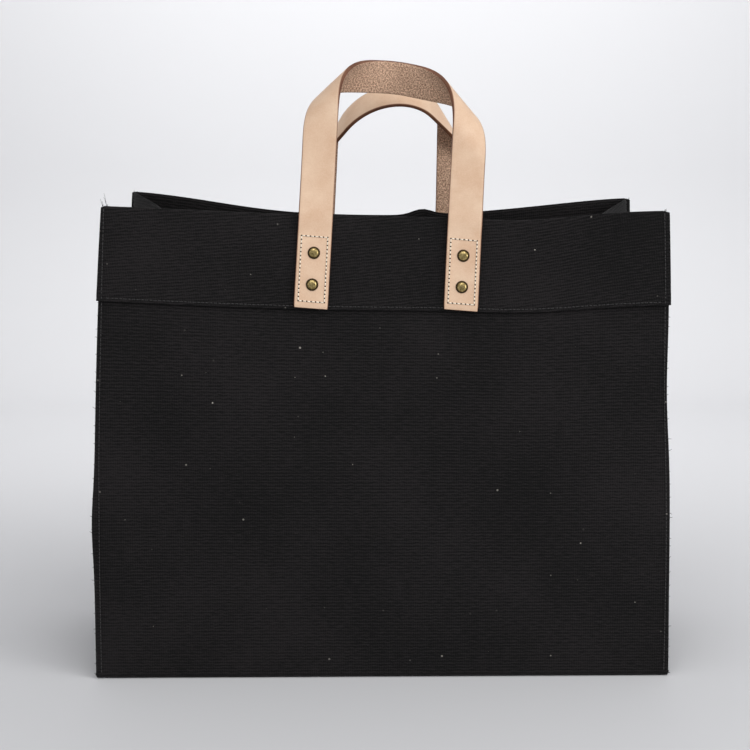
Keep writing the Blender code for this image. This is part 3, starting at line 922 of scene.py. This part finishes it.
for side in (FRONT, REAR):
    for end in (LEFT, RIGHT):
        inner_depth = -STRAP_OFF - CLOTH / 2
        outer = [on_strap_end(side, end, t, rise, STRAP_THICK / 2) for t, rise in box_path()]
        under = [on_strap_end(side, end, t, rise, inner_depth) for t, rise in box_path()]
        inner = [(point, -normal) for point, normal in under]
        name = f"{side}_{end}_box_stitching"
        stitches = stitch_row(name, [outer, inner], CREAM_RADIUS, [cream_thread, awl_hole_painted_shade], CREAM_BARE)
        mesh = bmesh.new()
        mesh.from_mesh(stitches.data)
        # A dark disc over each needle-side hole: painted shade for the awl hole.
        for point, normal in outer[:-1]:
            turn = normal.to_track_quat("Z", "Y").to_matrix().to_4x4()
            disc = bmesh.ops.create_circle(
                mesh,
                cap_ends=True,
                radius=AWL_RADIUS,
                segments=10,
                matrix=Matrix.Translation(point + normal * AWL_PROUD) @ turn,
            )
            for face in {face for vert in disc["verts"] for face in vert.link_faces}:
                face.material_index = 1
        mesh.to_mesh(stitches.data)
        mesh.free()
        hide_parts(f"{side}_{end}_box_stitch")
        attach(stitches, "bag")


# ---- Rivets ----
# Two double-cap rivets of antiqued brass through each strap end. The cap is a low pressed dome with a rolled
# rim, darkened in its recesses, and its back is a flatter disc set against the cloth inside.

RIVET_RISES = {"lower": 0.0179, "upper": 0.0419}
CAP_RADIUS = 0.0046
CAP_DOME = 0.0019
CAP_SEAT = 0.00005
BACK_SEAT = 0.0001
# Each outline runs from the middle of the top out to the rim and under it, as (radius, height).
cap_outline = [
    (0.0, CAP_DOME),
    (0.0012, CAP_DOME * 0.99),
    (0.0022, CAP_DOME * 0.94),
    (0.0029, CAP_DOME * 0.80),
    (0.0034, CAP_DOME * 0.55),
    (0.0037, CAP_DOME * 0.34),
    (0.0040, 0.00040),
    (0.0043, 0.00048),
    (CAP_RADIUS, 0.00034),
    (0.00464, 0.00016),
    (CAP_RADIUS, 0.0),
    (0.0036, -0.00010),
]
BACK_RADIUS = 0.0042
back_outline = [
    (0.0, 0.00105),
    (0.0016, 0.00100),
    (0.0028, 0.00082),
    (0.0036, 0.00050),
    (0.0040, 0.00034),
    (BACK_RADIUS, 0.00016),
    (BACK_RADIUS, 0.0),
    (0.0034, -0.00005),
]
WEAR_PATCH = 0.0014286

brass, tree, shader = new_material("antiqued brass, pressed and tumbled")
spot = add(tree, "ShaderNodeTexCoord")
wear = {"Vector": spot.outputs["Object"], "Scale": 1 / WEAR_PATCH, "Detail": 4.0}
patches = add(tree, "ShaderNodeTexNoise", wear)
worn = add(tree, "ShaderNodeMapRange", {"Value": patches.outputs["Fac"], "From Min": 0.35, "From Max": 0.65})
metal = add(
    tree,
    "ShaderNodeMix",
    {0: worn.outputs[0], 6: linear("#77673f"), 7: linear("#bda874")},
    data_type="RGBA",
)
rough = add(tree, "ShaderNodeMapRange", {"Value": patches.outputs["Fac"], "To Min": 0.42, "To Max": 0.24})
dents = add(tree, "ShaderNodeBump", {"Height": patches.outputs["Fac"], "Strength": 0.12, "Distance": 0.0002})
tree.links.new(metal.outputs[2], shader.inputs["Base Color"])
tree.links.new(rough.outputs[0], shader.inputs["Roughness"])
tree.links.new(dents.outputs["Normal"], shader.inputs["Normal"])
shader.inputs["Metallic"].default_value = 1.0
RECESS_RADIUS = 0.0035
patina, tree, shader = new_material("dark brass patina, left in the recess")
shader.inputs["Base Color"].default_value = linear("#3a2d18")
shader.inputs["Roughness"].default_value = 0.5
shader.inputs["Metallic"].default_value = 0.8


def turned(name, outline, point, normal):
    """A brass piece turned from (radius, height) outline points, with patina left past the recess radius."""
    steps = 40
    mesh = bmesh.new()
    place = Matrix.Translation(point) @ normal.to_track_quat("Z", "Y").to_matrix().to_4x4()
    top = mesh.verts.new(place @ Vector((0, 0, outline[0][1])))
    rings = []
    for radius, height in outline[1:]:
        ring = []
        for i in range(steps):
            angle = 2 * math.pi * i / steps
            local = Vector((radius * math.cos(angle), radius * math.sin(angle), height))
            ring.append(mesh.verts.new(place @ local))
        rings.append(ring)
    for i in range(steps):
        j = (i + 1) % steps
        mesh.faces.new((top, rings[0][i], rings[0][j]))
        for upper, lower in zip(rings, rings[1:]):
            mesh.faces.new((upper[i], lower[i], lower[j], upper[j]))
    mesh.faces.new(list(reversed(rings[-1])))
    for face in mesh.faces:
        if (face.calc_center_median() - point).cross(normal).length > RECESS_RADIUS:
            face.material_index = 1
    return finished(name, mesh, [brass, patina])


for side in (FRONT, REAR):
    for end in (LEFT, RIGHT):
        for number, rise in RIVET_RISES.items():
            name = f"{side}_{end}_rivet_{number}"
            point, normal = on_strap_end(side, end, 0.0, rise, STRAP_THICK / 2 + CAP_SEAT)
            cap = turned(f"{name}_dome", cap_outline, point, normal)
            point, normal = on_strap_end(side, end, 0.0, rise, -STRAP_OFF - CLOTH / 2 - BACK_SEAT)
            back = turned(f"{name}_disc", back_outline, point, -normal)
            for piece, node in ((cap, f"{name}_cap"), (back, f"{name}_back")):
                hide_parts(node)
                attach(piece, "bag")


# ---- Loose yarns ----
# The flanges are left raw, so odd black cotton yarns, 0.4 mm thick, have worked out of them: a tuft at each
# rim corner, a knot of thread tails at each foot, and single ends all the way up.

YARN_RADIUS = 0.00020
EDGE_YARNS = 34
TUFT_YARNS = 7
KNOT_YARNS = 12
LONG_TUFT = 0.0085
SHORT_TUFT = 0.0030
FUZZ_SIZE = 0.0008
chance = random.Random(11)
yarn_cotton, tree, shader = new_material("black cotton yarn, frayed")
spot = add(tree, "ShaderNodeTexCoord")
fuzzy = {"Vector": spot.outputs["Object"], "Scale": 1 / FUZZ_SIZE, "Detail": 2.0}
fuzz = add(tree, "ShaderNodeTexNoise", fuzzy)
tone = add(
    tree,
    "ShaderNodeMix",
    {0: fuzz.outputs["Fac"], 6: linear("#0d0c0c"), 7: linear("#322f30")},
    data_type="RGBA",
)
tree.links.new(tone.outputs[2], shader.inputs["Base Color"])
shader.inputs["Roughness"].default_value = 0.95
shader.inputs["Specular IOR Level"].default_value = 0.1


def add_yarn(mesh, start, heading, curl, length, sides=5, rings=6):
    """A thin tapering yarn that leaves start along heading and bends towards curl."""
    loops = []
    for step in range(rings + 1):
        share = step / rings
        middle = start + heading * (length * share) + curl * (length * share * share)
        ahead = (heading + curl * (2 * share)).normalized()
        beside = ahead.orthogonal().normalized()
        third = ahead.cross(beside)
        loops.append(ring_of(mesh, middle, beside, third, YARN_RADIUS * (1 - 0.6 * share), sides))
    for lower, upper in zip(loops, loops[1:]):
        offset = min(range(sides), key=lambda k: (upper[k].co - lower[0].co).length)
        for i in range(sides):
            j = (i + 1) % sides
            mesh.faces.new((lower[i], lower[j], upper[(j + offset) % sides], upper[(i + offset) % sides]))
    mesh.faces.new(list(reversed(loops[0])))
    mesh.faces.new(loops[-1])


def random_turn():
    """A direction to stray in, up to 1 each way."""
    return Vector([chance.uniform(-1, 1) for _ in range(3)])


for side in (FRONT, REAR):
    outward = Vector((0, -1 if side == FRONT else 1, 0))
    for end, sign in ((LEFT, -1), (RIGHT, 1)):
        aside = Vector((sign, 0, 0))
        mesh = bmesh.new()
        for height in spread(0.012, HEIGHT - 0.012, EDGE_YARNS):
            height += chance.uniform(-0.004, 0.004)
            start = off_wall(side, sign * tip_x(sign, height), height, 0.0)
            heading = (aside + random_turn() * 0.5).normalized()
            add_yarn(mesh, start, heading, random_turn() * 0.4, chance.uniform(0.0006, 0.0019))
        tuft = off_wall(side, sign * tip_x(sign, HEIGHT), HEIGHT - 0.001, 0.0)
        longest = LONG_TUFT if (side, end) == (FRONT, LEFT) else SHORT_TUFT
        for _ in range(TUFT_YARNS):
            heading = (Vector((0, 0, 1)) + aside * 0.25 + random_turn() * 0.35).normalized()
            start = tuft - aside * chance.uniform(0.0, 0.004)
            add_yarn(mesh, start, heading, random_turn() * 0.35, chance.uniform(0.0015, longest))
        knot = off_wall(side, sign * (tip_x(sign, 0.003) - 0.0004), 0.0030, 0.0)
        for _ in range(KNOT_YARNS):
            heading = (aside * 0.6 + outward * 0.2 + random_turn() * 0.8).normalized()
            add_yarn(mesh, knot, heading, random_turn() * 0.7, chance.uniform(0.0008, 0.0020))
        bmesh.ops.recalc_face_normals(mesh, faces=mesh.faces)
        yarns = finished(f"{side}_{end}_loose_yarns", mesh, [yarn_cotton])
        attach(yarns, "bag")


# ---- Camera ----
# A long lens a little above the rim and left of the middle, looking slightly down and a degree to the right.

camera = bpy.data.objects.new("camera", bpy.data.cameras.new("camera"))
bpy.context.scene.collection.objects.link(camera)
bpy.context.scene.camera = camera
camera.data.sensor_width = 36.0
camera.data.lens = 75.0
camera.data.shift_y = -0.08
camera.data.clip_start = 0.05
camera.data.clip_end = 20.0
camera.location = (-0.026, -1.222, 0.401)
camera.rotation_euler = (math.radians(90 - 6.4), 0.0, math.radians(-0.9))


# ---- Studio ----
# A pale paper sweep, curved up behind the bag, under a large soft light from above and one from the right. A
# weak one fills from the left, and another lifts the paper behind.

paper, tree, shader = new_material("matt white background paper")
shader.inputs["Base Color"].default_value = linear("#d2d2d4")
shader.inputs["Roughness"].default_value = 0.9
shader.inputs["Specular IOR Level"].default_value = 0.2

SWEEP_BACK = 1.1
SWEEP_ROUND = 0.35
SWEEP_FRONT = -3.0
SWEEP_TOP = 3.5
SWEEP_HALF = 3.5
SWEEP_DROP = 0.0002
profile = [(SWEEP_FRONT, 0.0), (SWEEP_BACK, 0.0)]
for step in range(1, 13):
    angle = math.radians(7.5 * step)
    profile.append((SWEEP_BACK + SWEEP_ROUND * math.sin(angle), SWEEP_ROUND * (1 - math.cos(angle))))
profile.append((SWEEP_BACK + SWEEP_ROUND, SWEEP_TOP))
mesh = bmesh.new()
lines = []
for x in (-SWEEP_HALF, SWEEP_HALF):
    lines.append([mesh.verts.new((x, y, z - SWEEP_DROP)) for y, z in profile])
for i in range(len(profile) - 1):
    mesh.faces.new((lines[0][i], lines[1][i], lines[1][i + 1], lines[0][i + 1]))
sweep = finished("sweep", mesh, [paper])
sweep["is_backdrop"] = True


def soft_light(name, place, aim, size, watts):
    """A square softbox at a place, facing an aim point."""
    lamp = bpy.data.lights.new(name, "AREA")
    lamp.shape = "SQUARE"
    lamp.size = size
    lamp.energy = watts
    thing = bpy.data.objects.new(name, lamp)
    thing.location = place
    thing.rotation_euler = (Vector(aim) - Vector(place)).to_track_quat("-Z", "Y").to_euler()
    bpy.context.scene.collection.objects.link(thing)


soft_light("overhead softbox", (0.1, -1.2, 1.9), (0, 0, 0.25), 1.6, 22)
soft_light("right softbox", (1.6, -1.1, 0.8), (0.1, 0, 0.25), 1.1, 16)
soft_light("left reflector", (-2.0, -1.3, 0.8), (0, 0, 0.25), 1.5, 4)
soft_light("backdrop light", (0.0, 0.80, 1.25), (0, 1.45, 0.80), 1.3, 11)
world = bpy.data.worlds.new("studio")
bpy.context.scene.world = world
world.use_nodes = True
world.node_tree.nodes["Background"].inputs["Color"].default_value = (0.97, 0.98, 1.0, 1.0)
world.node_tree.nodes["Background"].inputs["Strength"].default_value = 0.45
bpy.context.scene.view_settings.view_transform = "Standard"

low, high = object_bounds()
